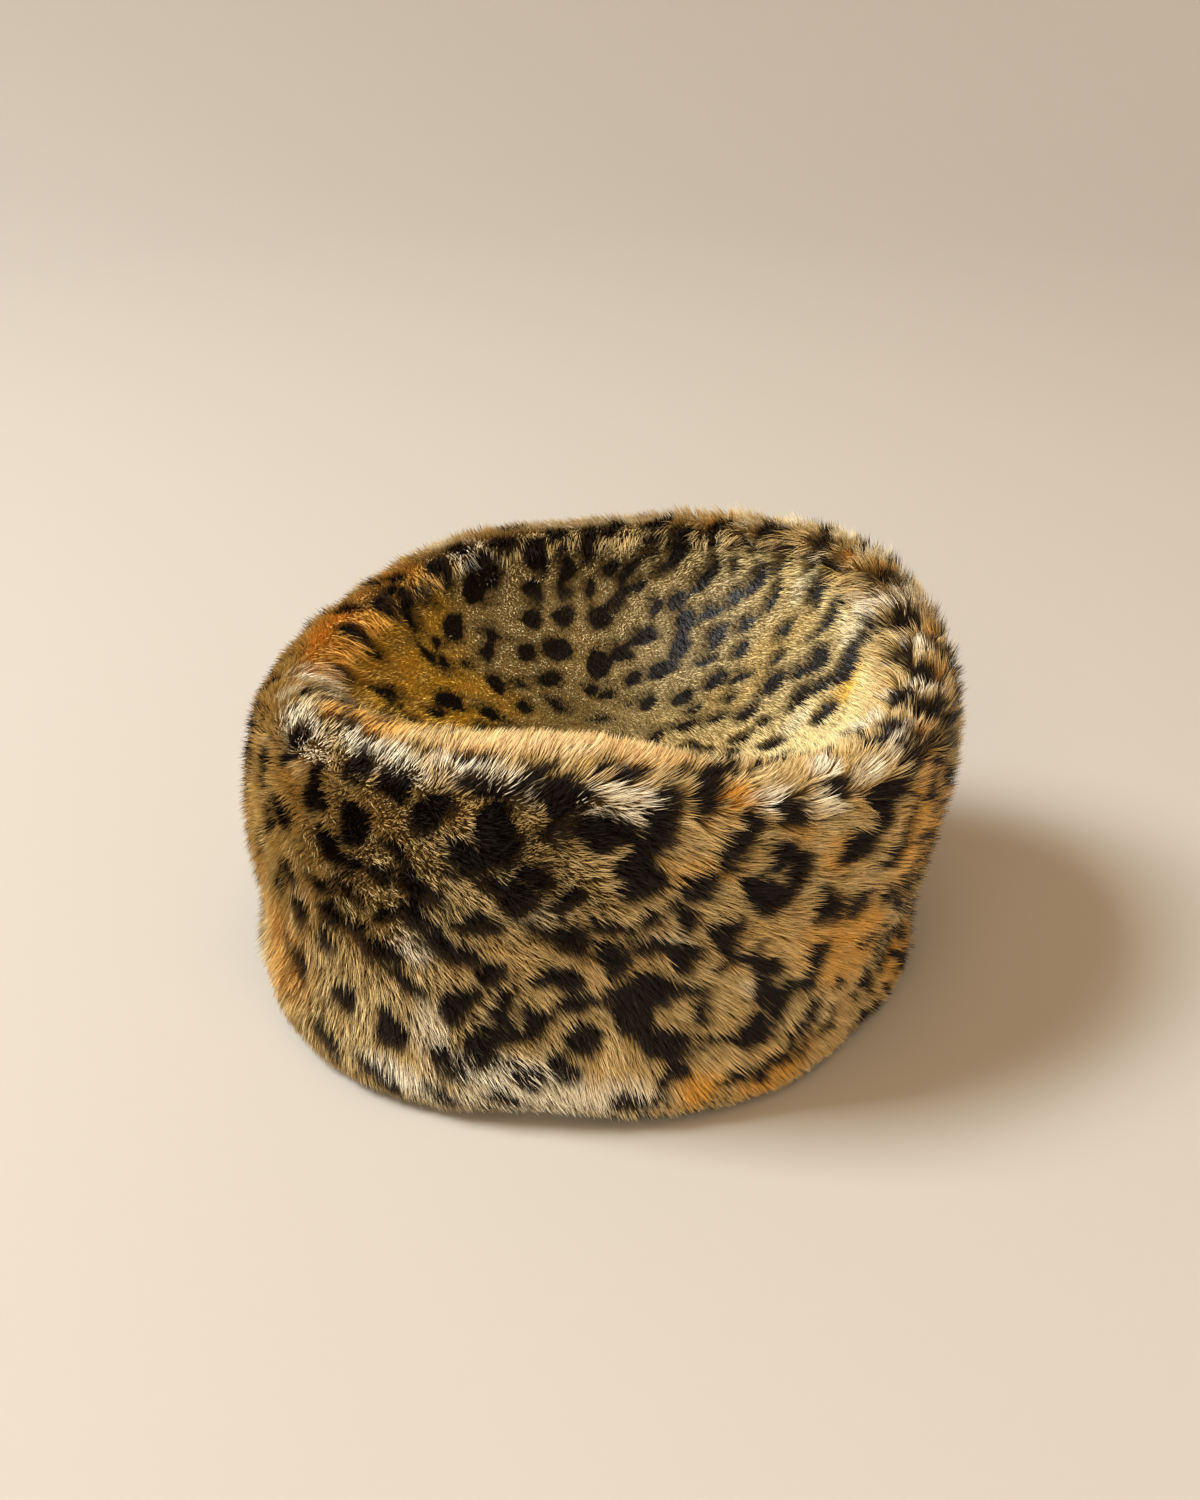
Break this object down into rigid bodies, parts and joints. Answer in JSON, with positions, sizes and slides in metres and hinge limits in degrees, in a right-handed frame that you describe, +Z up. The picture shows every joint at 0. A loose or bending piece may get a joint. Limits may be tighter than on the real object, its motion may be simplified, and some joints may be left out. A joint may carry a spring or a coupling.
{
  "type": "fur pillbox hat",
  "caption": "Brimless fur pillbox hat: an oval side band rolled over at the top and turned up at the hem, with a sunk soft crown.",
  "frame": {"origin": "on the surface that the hat stands on, under the middle of its box", "axes": "+Z up, +X along the long way of the head oval, -Y towards the side with the lifted hem"},
  "size_m": [0.2172, 0.194, 0.124],
  "materials": {
    "long_fur": "plush fur, 8 mm pile, tan and ginger with dark broken spots",
    "short_fur": "velvety fur, 5 mm pile, olive tan with small dark spots"
  },
  "bodies": {
    "root": {"side_band": "long_fur", "crown_tip": "short_fur"}
  },
  "joints": []
}
